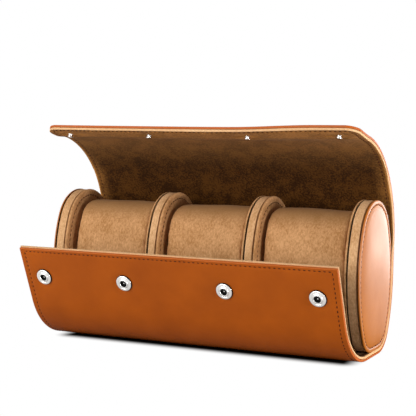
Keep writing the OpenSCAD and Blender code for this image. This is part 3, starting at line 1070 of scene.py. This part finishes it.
def raised(name, outline, steps, rings=()):
    """A solid raised from an outline by steps of (inset, rise), where an inset of 0 extrudes,
    and closed by a dome of (scale, rise) rings."""
    deselect_all()
    bpy.ops.mesh.primitive_circle_add(vertices=len(outline), radius=1, fill_type="NGON")
    made = named(bpy.context.object, name)
    for vertex, (u, v) in zip(made.data.vertices, outline):
        vertex.co = Vector((u, v, 0))
    face_outwards(made)
    if bmesh.from_edit_mesh(made.data).faces[0].normal.z < 0:
        bpy.ops.mesh.flip_normals()
    for inset, rise in steps:
        if inset:
            bpy.ops.mesh.inset(thickness=inset, depth=rise, use_even_offset=True)
        else:
            bpy.ops.mesh.extrude_region_move(TRANSFORM_OT_translate={"value": (0, 0, rise)})
    for scale, rise in rings:
        bpy.ops.mesh.extrude_region_move(TRANSFORM_OT_translate={"value": (0, 0, rise)})
        bpy.ops.transform.resize(value=(scale, scale, 1), center_override=(0, 0, 0))
    if rings:
        bpy.ops.mesh.poke()
    return finish_mesh(made)


def rounded_edge(radius, parts=4):
    """Steps that round an edge over by a quarter circle."""
    angles = [math.pi / 2 * i / parts for i in range(parts + 1)]
    return [
        (radius * (math.cos(a) - math.cos(b)), radius * (math.sin(b) - math.sin(a)))
        for a, b in zip(angles, angles[1:])
    ]


def upright(place, side=1):
    """Stands a solid, raised along its own Z, at a place so that it rises along X, to the right
    for side 1 and to the left for side -1."""
    x, y, z = place
    return Matrix(((0, 0, side, x), (1, 0, 0, y), (0, 1, 0, z), (0, 0, 0, 1)))


def on_oval(x, side):
    """The same on the middle of the oval, at x."""
    return upright((x, 0, OVAL_MIDDLE_Z), side)


def face_steps(thick, edge, inset):
    """A padded face: up its rim, over a rounded edge, along a plump lip, and into and out of the
    furrow of its seam."""
    lip = inset - edge - FURROW_STEPS[0][0] - FURROW_STEPS[1][0]
    steps = [(0, thick - edge)] + rounded_edge(edge, 6)
    steps += [(lip * 0.5, FURROW * 0.25), (lip * 0.5, -FURROW * 0.25)]
    return steps + [(run, FURROW * share) for run, share in FURROW_STEPS]


def dome(height):
    """Rings of a shallow dome."""
    return [(scale, height * rise) for scale, rise in DOME_RINGS]


def oval_seam(inset, pitch):
    """(y, z, direction) of the stitches round the oval at an inset."""
    points = [Vector(p) for p in oval_outline(inset)]
    ring = points + points[:1]
    lengths = [(b - a).length for a, b in zip(ring, ring[1:])]
    total = sum(lengths)
    step = total / round(total / pitch)
    spots = []
    wanted, walked = step / 2, 0.0
    for (a, b), length in zip(zip(ring, ring[1:]), lengths):
        while wanted <= walked + length and length > 0:
            spot = a.lerp(b, (wanted - walked) / length)
            spots.append((spot.x, spot.y, math.atan2(b.y - a.y, b.x - a.x)))
            wanted += step
        walked += length
    return spots


def face_stitches(x, side, inset):
    """Places of the stitches round a face at x that looks along side times X."""
    return [
        on_oval(x, side) @ Matrix.Translation((u, v, 0)) @ Matrix.Rotation(turn, 4, "Z") @ STITCH_SLANT
        for u, v, turn in oval_seam(inset, context_sizes().stitch_pitch)
    ]


def padded_face(name, node, side, suede):
    """The stitched face of a cap or divider, of suede or leather, at its CAD node's place."""
    sizes = context_sizes()
    low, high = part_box(node)
    back = low.x if side > 0 else high.x
    thick = high.x - low.x - (0 if suede else CAP_CLEARANCE)
    inset = sizes.face_inset if suede else sizes.cap_inset
    edge, height = (SUEDE_EDGE, SUEDE_DOME) if suede else (CAP_EDGE, CAP_DOME)
    made = raised(name, oval_outline(0.0), face_steps(thick, edge, inset), dome(height))
    set_place(made, on_oval(back, side))
    paint(made, "brushed_sand_suede" if suede else "cap_calf_leather")
    seat(made, "base", [node])
    level = back + side * (thick - FURROW + sizes.thread * 0.3)
    thread = sew(f"{name}_thread", face_stitches(level, side, inset))
    paint(thread, "bonded_thread")
    seat(thread, "base")


def flat_band(name, band, core):
    """The band between two faces, set in a little so that dark seams show beside it, and its
    board core."""
    low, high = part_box(band)
    gap = context_sizes().seam_gap
    lead = rounded_edge(BAND_EDGE, 3)
    steps = [(-rise, run) for run, rise in lead] + [(0, high.x - low.x - 2 * gap - 2 * BAND_EDGE)] + lead
    made = raised(name, oval_outline(BAND_INSET + BAND_EDGE), steps)
    set_place(made, on_oval(low.x + gap, 1))
    # The band's suede is the lighter copy of the sand suede, as painted light
    paint(made, "taut_sand_suede")
    filling = raised(f"{name}_core", oval_outline(CORE_INSET), [(0, high.x - low.x)])
    set_place(filling, on_oval(low.x, 1))
    paint(filling, "pressed_fibre_board")
    seat(made, "base", [band])
    seat(filling, "base", [core])


class CASE_OT_caps(bpy.types.Operator):
    """Make the two end caps"""

    bl_idname = "case.caps"
    bl_label = "End caps"

    def execute(self, context):
        for name, side in (("left", -1), ("right", 1)):
            padded_face(f"{name}_cap_outer", f"{name}_cap_leather", side, False)
            padded_face(f"{name}_cap_inner", f"{name}_cap_lining", -side, True)
            flat_band(f"{name}_cap_strip", f"{name}_cap_band", f"{name}_cap_core")
        return {"FINISHED"}


class CASE_OT_dividers(bpy.types.Operator):
    """Make the two dividers"""

    bl_idname = "case.dividers"
    bl_label = "Dividers"

    def execute(self, context):
        for name in ("left_divider", "right_divider"):
            for face, side in (("left", -1), ("right", 1)):
                padded_face(f"{name}_{face}_side", f"{name}_{face}_face", side, True)
            flat_band(f"{name}_strip", f"{name}_band", f"{name}_core")
        return {"FINISHED"}


# ---------------------------------------------------------------- pillows

# How a pillow's cover stands off its solid: all round, and more above, below and at its ends
PILLOW_SLACK = 0.0002
PILLOW_PROUD = 0.0010
PILLOW_END_PROUD = PILLOW_PROUD * 1.4
PILLOW_EDGE = 0.0018
PILLOW_END = 0.0023
PILLOW_DOME = 0.0005
PILLOW_FULLNESS = 0.8

# The cover's cloth: its cell, the most that a point may move, and how long it fills out
COVER_CELL = 0.0020
COVER_CAP = 0.0014
COVER_FRAMES = 16

# Dents of use: how deep the wide and the fine ones are, how far all is let in, how many lie in
# a metre, how much closer the fine ones lie, and how far on in the noise the next pillow's are
WIDE_DENTS, FINE_DENTS, DENTS_IN = 0.0009, 0.0004, 0.0004
DENTS_PER_METRE, FINE_SHARE, NEXT_PILLOW = 28, 2.6, 11.0


def pillow_outline(depth, height, count=96):
    """The pillow's oval, fuller than an ellipse."""
    points = []
    for u, v in round_outline(1, count):
        y = math.copysign(abs(u) ** PILLOW_FULLNESS, u) * depth / 2
        z = math.copysign(abs(v) ** PILLOW_FULLNESS, v) * height / 2
        points.append((y, z))
    return points


def pillow_solid(name, low, high):
    """A pillow with domed ends: one half is raised and mirrored, then stood at its place."""
    size = high - low
    outline = pillow_outline(size.y + 2 * PILLOW_SLACK, size.z + 2 * PILLOW_PROUD + 2 * PILLOW_SLACK)
    reach = size.x / 2 + PILLOW_SLACK + PILLOW_END_PROUD
    steps = [(0, reach - PILLOW_END)] + rounded_edge(PILLOW_EDGE, 5)
    made = raised(name, outline, steps, dome(PILLOW_DOME))
    mesh = edit(made)
    pick(made, mesh.faces, lambda face: abs(face.calc_center_median().z) < NEAR)
    bpy.ops.mesh.delete(type="FACE")
    mirror = made.modifiers.new("other_half", "MIRROR")
    mirror.use_axis = (False, False, True)
    apply(made, mirror)
    return set_place(made, upright((low + high) / 2), 70)


def plump(obj):
    """Swells a pillow like a filled cover with Blender's cloth, then keeps each point near
    where it was."""
    remesh = obj.modifiers.new("skin", "REMESH")
    remesh.mode = "VOXEL"
    remesh.voxel_size = COVER_CELL
    apply(obj, remesh)
    before = [vertex.co.copy() for vertex in obj.data.vertices]
    cloth = obj.modifiers.new("cover", "CLOTH")
    cloth.settings.use_pressure = True
    cloth.settings.uniform_pressure_force = 4.0
    cloth.settings.effector_weights.gravity = 0.0
    cloth.settings.mass = 0.2
    cloth.point_cache.frame_start = 1
    cloth.point_cache.frame_end = COVER_FRAMES
    for step in range(1, COVER_FRAMES + 1):
        bpy.context.scene.frame_set(step)
    bpy.context.view_layer.update()
    apply(obj, cloth)
    for vertex, was in zip(obj.data.vertices, before):
        move = vertex.co - was
        if move.length > COVER_CAP:
            vertex.co = was + move.normalized() * COVER_CAP
    bpy.context.scene.frame_set(1)


def dent(obj, centre, number):
    """Presses soft dents into a pillow, other ones for each number."""
    for vertex in obj.data.vertices:
        spot = vertex.co * DENTS_PER_METRE + Vector((0, 0, NEXT_PILLOW * number))
        out = WIDE_DENTS * noise.noise(spot) + FINE_DENTS * noise.noise(spot * FINE_SHARE) - DENTS_IN
        vertex.co += (vertex.co - centre).normalized() * out


class CASE_OT_pillows(bpy.types.Operator):
    """Make the three pillows"""

    bl_idname = "case.pillows"
    bl_label = "Pillows"

    def execute(self, context):
        for number, name in enumerate(("left_pillow", "middle_pillow", "right_pillow")):
            low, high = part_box(f"{name}_cover")
            pillow = pillow_solid(name, low, high)
            plump(pillow)
            dent(pillow, (low + high) / 2, number)
            round_off = pillow.modifiers.new("round_off", "SUBSURF")
            round_off.levels = 1
            round_off.render_levels = 1
            apply(pillow, round_off)
            finish_mesh(pillow, 80)
            paint(pillow, "pillow_sand_suede")
            seat(pillow, name, [f"{name}_{part}" for part in ("cover", "ends", "core")])
        return {"FINISHED"}


# ---------------------------------------------------------------- snaps

WASHER = 0.0003
WALL_HEIGHT = 0.0006
SOCKET_LIP = 0.0009
SOCKET_TRIM = 0.00085
WELL_EYE = 0.00035
SOCKET_DEPTH = 0.0002
STUD_DEPTH = WRAP - 0.0003
STUD_R = 0.0016
PLATE_R = 0.0022
PLATE_DROP = 0.0011
HEAD_R = 0.00155
HEAD_Z = 0.00135
HEAD_FLATNESS = 0.55
HEAD_HOLLOW = 0.00025
SPIN = math.radians(35)


def socket_shape():
    """A socket: a flat ring that stands on a washer and wall, with a bevelled rim and a fine groove, a
    rolled lip and a well. The washer, the wall and the well, but for a small eye, are near black as painted
    shade. SOCKET_TRIM is what the narrow steps take up."""
    sizes = context_sizes()
    ring = sizes.ring_radius
    lip = SOCKET_LIP
    flat = ring - sizes.socket_radius - lip - SOCKET_TRIM
    wall = [(0, 0.00012), (WASHER, 0.00005), (0, WALL_HEIGHT)]
    rim = [(0.00008, 0.00012), (0.00017, 0.00008), (0.00030, 0.00003)]
    groove = [(flat * 0.7, 0.00002), (0.00010, -0.00008), (0.00010, 0.00008), (flat * 0.3, 0.0)]
    rise = [(0.00010, 0.00020), (lip * 0.2, 0.00018), (lip * 0.3, 0.00008)]
    fall = [(lip * 0.3, -0.00008), (lip * 0.2, -0.00030)]
    well = [(0.00005, -0.0009), (0.0013, 0.0), (0.0001, 0.0002), (0.0002, 0.0001)]
    made = raised("socket", round_outline(ring + WASHER), wall + rim + groove + rise + fall + well)
    # Painted shade: the well, but for a small nickel eye, and the ring's washer and outer wall take the
    # near-black steel
    for polygon in made.data.polygons:
        across = polygon.center.xy.length
        well_painted_shade = WELL_EYE < across < sizes.socket_radius + 0.00005 and polygon.center.z < 0.0009
        wall_painted_shade = across > ring - 0.00005 and polygon.center.z < WALL_HEIGHT
        polygon.material_index = 1 if well_painted_shade or wall_painted_shade else 0
    return paint(made, "polished_nickel", "darkened_spring_steel")


def stud_shape():
    """A stud: a back plate and a pin inside the lid, a thin flange, a waist and a round head."""
    plate = raised("plate", round_outline(PLATE_R, 32), [(0, 0.00025), (0.0014, 0), (0, 0.0009)])
    plate.data.transform(Matrix.Translation((0, 0, -PLATE_DROP)))
    steps = [(0, 0.00015), (0.00012, 0.0001), (0.0003, 0.00005), (0.00010, 0.0002), (0, 0.0008)]
    body = raised("stud", round_outline(STUD_R, 32), steps)
    deselect_all()
    bpy.ops.mesh.primitive_uv_sphere_add(segments=32, ring_count=16, radius=HEAD_R)
    head = bpy.context.object
    for vertex in head.data.vertices:
        vertex.co.z = vertex.co.z * HEAD_FLATNESS + HEAD_Z
        if vertex.co.z > HEAD_Z:
            vertex.co.z -= HEAD_HOLLOW * (1 - smooth(0.0003, 0.0009, vertex.co.xy.length))
    made = join("stud", [body, plate, head])
    shade(50)
    return paint(made, "polished_nickel")


def set_snaps(name, shape, s, depth, outwards, body, nodes):
    """Copies a snap's part to its four places, each turned a little further."""
    parts = []
    for i, x in enumerate(SNAP_X):
        part = link_new(f"{name}_{i}", shape.data.copy())
        spin = Matrix.Rotation(SPIN * i, 4, "Z")
        part.data.transform(Matrix.Translation(on_wrap(x, s, depth)) @ wrap_turn(s, outwards) @ spin)
        parts.append(part)
    bpy.data.objects.remove(shape, do_unlink=True)
    seat(join(name, parts), body, nodes)


class CASE_OT_snaps(bpy.types.Operator):
    """Make the snap sockets and studs, and paint the springs and posts inside them near black as painted
    shade
    """

    bl_idname = "case.snaps"
    bl_label = "Snaps"

    def execute(self, context):
        stud_nodes = ["snap_studs", "snap_stud_backs"]
        set_snaps("socket_rings", socket_shape(), SOCKET_S, SOCKET_DEPTH, True, "flap", ["snap_sockets"])
        set_snaps("lid_studs", stud_shape(), STUD_S, STUD_DEPTH, False, "lid_front", stud_nodes)
        # Painted shade: the springs and posts inside the sockets are coloured near black so that the wells
        # look dark
        for node in ("snap_springs", "snap_posts"):
            paint(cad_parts[node], "darkened_spring_steel")
        return {"FINISHED"}


# ---------------------------------------------------------------- stage

# The camera: what it looks at, from which side, how far off and through which lens
AIM = Vector((-0.0069, 0.0, 0.0821))
VIEW_AZIMUTH = math.radians(26.54)
VIEW_ELEVATION = math.radians(5.20)
VIEW_DISTANCE = 0.7270
LENS_MM = 101.56
SENSOR_MM = 36.0

# The painted contact shadow: where the case stands, and how far past it the floor is painted dark, as seen
# and as mirrored in the case
FOOTPRINT_MIDDLE = (0.001, -0.0080, 0.0)
FOOTPRINT_HALF = (0.091, 0.0188, 0.0)
SHADOW_REACH = 0.012
MIRRORED_REACH = 0.090
FLOOR_SIZE = 6
DIM_SKY = 0.22

# Each soft box: its name, place, target, width, height and watts
MIDDLE = (0, 0, 0.06)
SOFT_BOXES = (
    ("key_soft_box", (-0.6, -0.85, 0.50), MIDDLE, 0.8, 0.8, 8),
    ("front_soft_box", (-0.20, -1.1, 0.25), MIDDLE, 0.7, 0.5, 5.4),
    ("overhead_soft_box", (0.0, -0.1, 1.2), MIDDLE, 0.8, 0.8, 1),
    ("side_soft_box", (0.95, -0.05, 0.075), (0.1, -0.05, 0.075), 0.5, 0.13, 9.5),
    ("rim_soft_box", (0.21, 0.37, 0.06), (0.1, 0, 0.04), 0.27, 0.12, 0.58),
)


def seen_rays(tree, path):
    """1 for the light path's rays that see the white room: the camera's, and those that metal
    and glass send on."""
    seen = path.outputs["Is Camera Ray"]
    for ray in ("Is Glossy Ray", "Is Transmission Ray"):
        both = {0: seen, 1: path.outputs[ray]}
        seen = add_node(tree, "ShaderNodeMath", {"operation": "ADD", "use_clamp": True}, both)
    return seen


def floor_material():
    """White card: plain and pale, seen as white away from the object's own shadow, and coloured dark right
    under the object and just past it as a painted contact shadow, which the case's reflections of it show
    too."""
    material, tree, place = new_material("white_card")
    path = add_node(tree, "ShaderNodeLightPath")
    glossy, seen = path.outputs["Is Glossy Ray"], seen_rays(tree, path)
    apart = {"operation": "SUBTRACT"}
    middle = add_node(tree, "ShaderNodeVectorMath", apart, {0: place, 1: FOOTPRINT_MIDDLE})
    spread = add_node(tree, "ShaderNodeVectorMath", {"operation": "ABSOLUTE"}, {0: middle})
    past = add_node(tree, "ShaderNodeVectorMath", apart, {0: spread, 1: FOOTPRINT_HALF})
    outside = add_node(tree, "ShaderNodeVectorMath", {"operation": "MAXIMUM"}, {0: past, 1: (0, 0, 0)})
    away = add_node(tree, "ShaderNodeVectorMath", {"operation": "LENGTH"}, {0: outside})
    fade = add_node(tree, "ShaderNodeMapRange", SOFT_STEP, {"Value": away, "From Max": SHADOW_REACH})
    mirrored = add_node(tree, "ShaderNodeMapRange", inputs={"Value": away, "From Max": MIRRORED_REACH})
    open_floor = add_node(
        tree, "ShaderNodeMix", {"data_type": "FLOAT"}, {"Factor": glossy, "A": fade, "B": mirrored}
    )
    share = add_node(tree, "ShaderNodeMath", {"operation": "MULTIPLY"}, {0: open_floor, 1: seen})
    colours = bpy.context.scene.case_colours
    # The under colour is a painted contact shadow: dark under the case, fading out past it
    under, plain = tuple(colours.floor_painted_shadow), tuple(colours.floor)
    cover = add_node(tree, "ShaderNodeMix", COLOUR_MIX, {"Factor": open_floor, "A": under, "B": plain})
    card = add_node(tree, "ShaderNodeBsdfDiffuse", inputs={"Color": cover})
    glow = add_node(tree, "ShaderNodeEmission", inputs={"Color": (1, 1, 1, 1), "Strength": 1.0})
    mixed = add_node(tree, "ShaderNodeMixShader", inputs={0: share, 1: card, 2: glow})
    add_node(tree, "ShaderNodeOutputMaterial", inputs={"Surface": mixed})
    return material


def white_world():
    """A dim even sky that the camera, metal and glass see as white."""
    world = bpy.data.worlds.new("white_room")
    bpy.context.scene.world = world
    world.use_nodes = True
    tree = world.node_tree
    tree.nodes.clear()
    seen = seen_rays(tree, add_node(tree, "ShaderNodeLightPath"))
    strength = add_node(
        tree, "ShaderNodeMapRange", inputs={"Value": seen, "To Min": DIM_SKY, "To Max": 1.0}
    )
    sky = add_node(tree, "ShaderNodeBackground", inputs={"Color": (1, 1, 1, 1), "Strength": strength})
    add_node(tree, "ShaderNodeOutputWorld", inputs={"Surface": sky})


def aimed(obj, place, way):
    """Puts a lamp or a camera at its place, looking along a way."""
    obj.location = place
    obj.rotation_euler = way.to_track_quat("-Z", "Y").to_euler()


def soft_box(name, place, target, width, height, watts):
    """A soft box that looks at a target."""
    data = bpy.data.lights.new(name, "AREA")
    data.shape = "RECTANGLE"
    data.size = width
    data.size_y = height
    data.energy = watts
    lamp = link_new(name, data)
    aimed(lamp, place, Vector(target) - Vector(place))
    lamp.visible_camera = False


def view_camera():
    """A camera that looks into the open case from its right front, a little above the lid."""
    data = bpy.data.cameras.new("camera")
    data.lens = LENS_MM
    data.sensor_width = SENSOR_MM
    camera = link_new("camera", data)
    flat = math.cos(VIEW_ELEVATION)
    back = Vector((math.sin(VIEW_AZIMUTH) * flat, -math.cos(VIEW_AZIMUTH) * flat, math.sin(VIEW_ELEVATION)))
    aimed(camera, AIM + back * VIEW_DISTANCE, -back)
    return camera


class CASE_OT_stage(bpy.types.Operator):
    """Make the floor, the lights and the camera"""

    bl_idname = "case.stage"
    bl_label = "Stage"

    def execute(self, context):
        deselect_all()
        bpy.ops.mesh.primitive_plane_add(size=FLOOR_SIZE)
        floor = context.object
        floor.name = "floor"
        floor.data.materials.append(floor_material())
        white_world()
        for box in SOFT_BOXES:
            soft_box(*box)
        context.scene.camera = view_camera()
        context.scene.view_settings.view_transform = "Standard"
        return {"FINISHED"}


# ---------------------------------------------------------------- panel and running

class CASE_PT_panel(bpy.types.Panel):
    """Lists the case's pieces, sizes and colours"""

    bl_idname = "CASE_PT_panel"
    bl_label = "Watch Case"
    bl_space_type = "VIEW_3D"
    bl_region_type = "UI"
    bl_category = "Watch Case"

    def draw(self, context):
        for operator in OPERATORS:
            self.layout.operator(operator.bl_idname)
        for group in (context.scene.case_sizes, context.scene.case_colours):
            for name in group.bl_rna.properties.keys():
                if name not in ("rna_type", "name"):
                    self.layout.prop(group, name)


OPERATORS = (CASE_OT_stage, CASE_OT_wrap, CASE_OT_caps, CASE_OT_dividers, CASE_OT_pillows, CASE_OT_snaps)
CLASSES = (CaseSizes, CaseColours, *OPERATORS, CASE_PT_panel)


def register():
    """Adds the classes and the scene's settings."""
    for cls in CLASSES:
        bpy.utils.register_class(cls)
    bpy.types.Scene.case_sizes = PointerProperty(type=CaseSizes)
    bpy.types.Scene.case_colours = PointerProperty(type=CaseColours)


def unregister():
    """Takes the scene's settings and the classes away."""
    del bpy.types.Scene.case_colours
    del bpy.types.Scene.case_sizes
    for cls in reversed(CLASSES):
        bpy.utils.unregister_class(cls)


def main():
    register()
    bpy.ops.case.stage()
    bpy.ops.case.wrap()
    bpy.ops.case.caps()
    bpy.ops.case.dividers()
    bpy.ops.case.pillows()
    bpy.ops.case.snaps()


if __name__ == "__main__":
    main()
